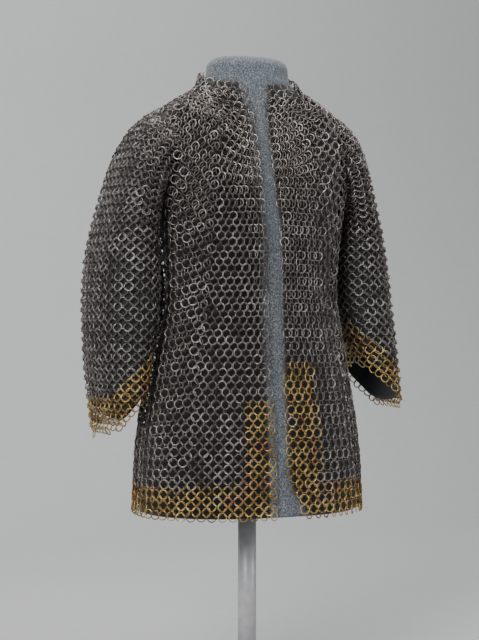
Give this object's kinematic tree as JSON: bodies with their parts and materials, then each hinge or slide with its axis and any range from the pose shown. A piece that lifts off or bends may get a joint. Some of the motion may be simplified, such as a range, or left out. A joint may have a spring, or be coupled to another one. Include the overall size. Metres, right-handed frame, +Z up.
{
  "type": "chainmail hauberk on a dress form stand",
  "caption": "Open-fronted shirt of iron mail with wide sleeves and brass borders, hung on a felt dress form on a pole and round base.",
  "frame": {"origin": "centre of the underside of the round base", "axes": "+Z up, -Y the front of the shirt, +X the wearer's left"},
  "size_m": [0.5698, 0.32, 1.0661],
  "materials": {
    "iron_mail": "dark aged iron rings, worn bright on their outer edges",
    "brass_mail": "dull yellow brass rings with brown and copper tones",
    "black_cloth": "smooth blue-black plain cloth",
    "grey_felt": "blue-grey heather felt",
    "painted_pole": "light grey satin paint"
  },
  "bodies": {
    "root": {"front_right": "iron_mail", "front_left": "iron_mail", "back": "iron_mail", "collar": "iron_mail", "sleeve_right": "iron_mail", "sleeve_left": "iron_mail", "hem_border_right": "brass_mail", "hem_border_left": "brass_mail", "hem_border_back": "brass_mail", "front_border_right": "brass_mail", "front_border_left": "brass_mail", "cuff_border_right": "brass_mail", "cuff_border_left": "brass_mail", "sleeve_lining_right": "black_cloth", "sleeve_lining_left": "black_cloth", "dress_form": "grey_felt", "pole": "painted_pole", "base": "painted_pole"}
  },
  "joints": []
}
